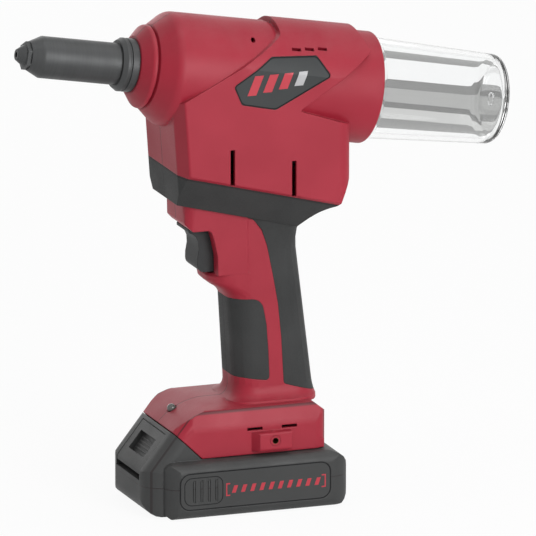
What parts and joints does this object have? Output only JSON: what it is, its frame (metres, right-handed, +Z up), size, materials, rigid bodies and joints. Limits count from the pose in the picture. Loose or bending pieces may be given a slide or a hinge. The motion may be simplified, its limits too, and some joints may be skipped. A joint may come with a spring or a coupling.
{
  "type": "battery rivet tool",
  "caption": "Pistol-grip battery rivet tool with a steel nose, a clear mandrel container behind the barrel, a trigger and a slide-on battery foot.",
  "frame": {"origin": "middle of the battery's bottom face, which the tool stands on", "axes": "+X toward the nose, +Y to the tool's left, +Z up"},
  "size_m": [0.2875, 0.078, 0.2817],
  "materials": {
    "red_plastic": "fine matte texture",
    "soft_grip": "soft matte",
    "dark_plastic": "fine matte texture",
    "panel_plastic": "satin",
    "label_film": "satin, bare",
    "black_steel": "blackened",
    "steel": "ground",
    "cast_alloy": "as cast",
    "magnet": "sintered",
    "brass": "plain",
    "board_green": "lacquered",
    "cell_wrap": "film wrapped",
    "clear_plastic": "clear, polished",
    "lens": "polished"
  },
  "bodies": {
    "tool": {"housing_left": "red_plastic", "housing_right": "red_plastic", "grip_left": "soft_grip", "grip_right": "soft_grip", "pad_left": "soft_grip", "pad_right": "soft_grip", "label_left": "label_film", "label_right": "label_film", "housing_screws": "black_steel", "nosepiece": "black_steel", "nose_tube": "black_steel", "lock_ring": "black_steel", "front_frame": "cast_alloy", "rear_plate": "cast_alloy", "front_bearing": "steel", "rear_bearing": "steel", "thrust_bearing": "steel", "guide_sleeve": "steel", "bulkhead": "dark_plastic", "mandrel_tube": "steel", "ring_gear": "steel", "gearbox_cover": "steel", "pinion_bush": "brass", "motor_can": "steel", "motor_magnets": "magnet", "motor_cap": "dark_plastic", "switch_body": "dark_plastic", "control_board": "board_green", "light_lens": "lens", "terminal_block": "dark_plastic", "terminal_blades": "brass", "hook_insert_left": "brass", "hook_insert_right": "brass", "trigger_spring": "steel"},
    "trigger": {"trigger": "dark_plastic", "trigger_plunger": "dark_plastic"},
    "battery": {"battery_top": "dark_plastic", "battery_base": "dark_plastic", "battery_panel_left": "panel_plastic", "battery_panel_right": "panel_plastic", "battery_cells": "cell_wrap", "cell_holder": "dark_plastic", "battery_board": "board_green", "battery_contacts": "brass", "battery_screws": "black_steel", "latch_spring": "steel"},
    "button": {"release_button": "dark_plastic"},
    "container": {"mandrel_container": "clear_plastic", "container_seal": "soft_grip"},
    "rotor": {"rotor": "steel"},
    "carrier": {"planet_carrier": "steel"},
    "planet_a": {"planet_gear_1": "steel"},
    "planet_b": {"planet_gear_2": "steel"},
    "planet_c": {"planet_gear_3": "steel"},
    "nut": {"ball_nut": "steel"},
    "puller": {"spindle": "steel"},
    "jaw_a": {"jaw_1": "black_steel"},
    "jaw_b": {"jaw_2": "black_steel"},
    "jaw_c": {"jaw_3": "black_steel"},
    "pusher": {"jaw_pusher": "steel"}
  },
  "joints": [
    {"name": "trigger_press", "type": "slide", "parent": "tool", "child": "trigger", "axis": [-1, 0, 0], "range_m": [0, 0.005], "stiffness_N_per_m": 600, "springref_m": -0.004, "deforming": ["trigger_spring"]},
    {"name": "battery_slide", "type": "slide", "parent": "tool", "child": "battery", "axis": [1, 0, 0], "range_m": [0, 0.1]},
    {"name": "button_press", "type": "slide", "parent": "battery", "child": "button", "axis": [0, 0, -1], "range_m": [0, 0.003], "stiffness_N_per_m": 1500, "springref_m": -0.002, "deforming": ["latch_spring"]},
    {"name": "container_pull", "type": "slide", "parent": "tool", "child": "container", "axis": [-0.9848, 0, -0.1736], "range_m": [0, 0.06]},
    {"name": "rotor_spin", "type": "hinge", "parent": "tool", "child": "rotor", "pos_m": [0.00651, 0, 0.20657], "axis": [0.9848, 0, 0.1736], "range_deg": [0, 15840]},
    {"name": "carrier_spin", "type": "hinge", "parent": "tool", "child": "carrier", "pos_m": [0.00651, 0, 0.20657], "axis": [0.9848, 0, 0.1736], "range_deg": [0, 2881]},
    {"name": "planet_spin_a", "type": "hinge", "parent": "carrier", "child": "planet_a", "pos_m": [0.00823, 0, 0.19682], "axis": [0.9848, 0, 0.1736], "range_deg": [-7407, 0]},
    {"name": "planet_spin_b", "type": "hinge", "parent": "carrier", "child": "planet_b", "pos_m": [0.00565, 0.00857, 0.21144], "axis": [0.9848, 0, 0.1736], "range_deg": [-7407, 0]},
    {"name": "planet_spin_c", "type": "hinge", "parent": "carrier", "child": "planet_c", "pos_m": [0.00565, -0.00857, 0.21144], "axis": [0.9848, 0, 0.1736], "range_deg": [-7407, 0]},
    {"name": "nut_spin", "type": "hinge", "parent": "tool", "child": "nut", "pos_m": [0, 0, 0.2435], "axis": [0.9848, 0, 0.1736], "range_deg": [-1441, 0]},
    {"name": "puller_slide", "type": "slide", "parent": "tool", "child": "puller", "axis": [-0.9848, 0, -0.1736], "range_m": [0, 0.02002]},
    {"name": "jaw_open_a", "type": "slide", "parent": "puller", "child": "jaw_a", "axis": [-0.9459, 0, -0.3244], "range_m": [0, 0.0012], "stiffness_N_per_m": 1000, "springref_m": -0.002},
    {"name": "jaw_open_b", "type": "slide", "parent": "puller", "child": "jaw_b", "axis": [-0.9863, 0.1344, -0.0951], "range_m": [0, 0.00121]},
    {"name": "jaw_open_c", "type": "slide", "parent": "puller", "child": "jaw_c", "axis": [-0.9863, -0.1344, -0.0951], "range_m": [0, 0.00121]},
    {"name": "pusher_slide", "type": "slide", "parent": "puller", "child": "pusher", "axis": [-0.9848, 0, -0.1736], "range_m": [0, 0.0012]}
  ],
  "couplings": [
    {"joint": "carrier_spin", "follows": "rotor_spin", "ratio": 0.18182},
    {"joint": "planet_spin_a", "follows": "rotor_spin", "ratio": -0.46753},
    {"joint": "planet_spin_b", "follows": "rotor_spin", "ratio": -0.46753},
    {"joint": "planet_spin_c", "follows": "rotor_spin", "ratio": -0.46753},
    {"joint": "nut_spin", "follows": "rotor_spin", "ratio": -0.090909},
    {"joint": "puller_slide", "follows": "rotor_spin", "m_per_rad": 0.000072343},
    {"joint": "jaw_open_b", "follows": "jaw_open_a", "ratio": 1},
    {"joint": "jaw_open_c", "follows": "jaw_open_a", "ratio": 1},
    {"joint": "pusher_slide", "follows": "jaw_open_a", "ratio": 0.98788}
  ]
}
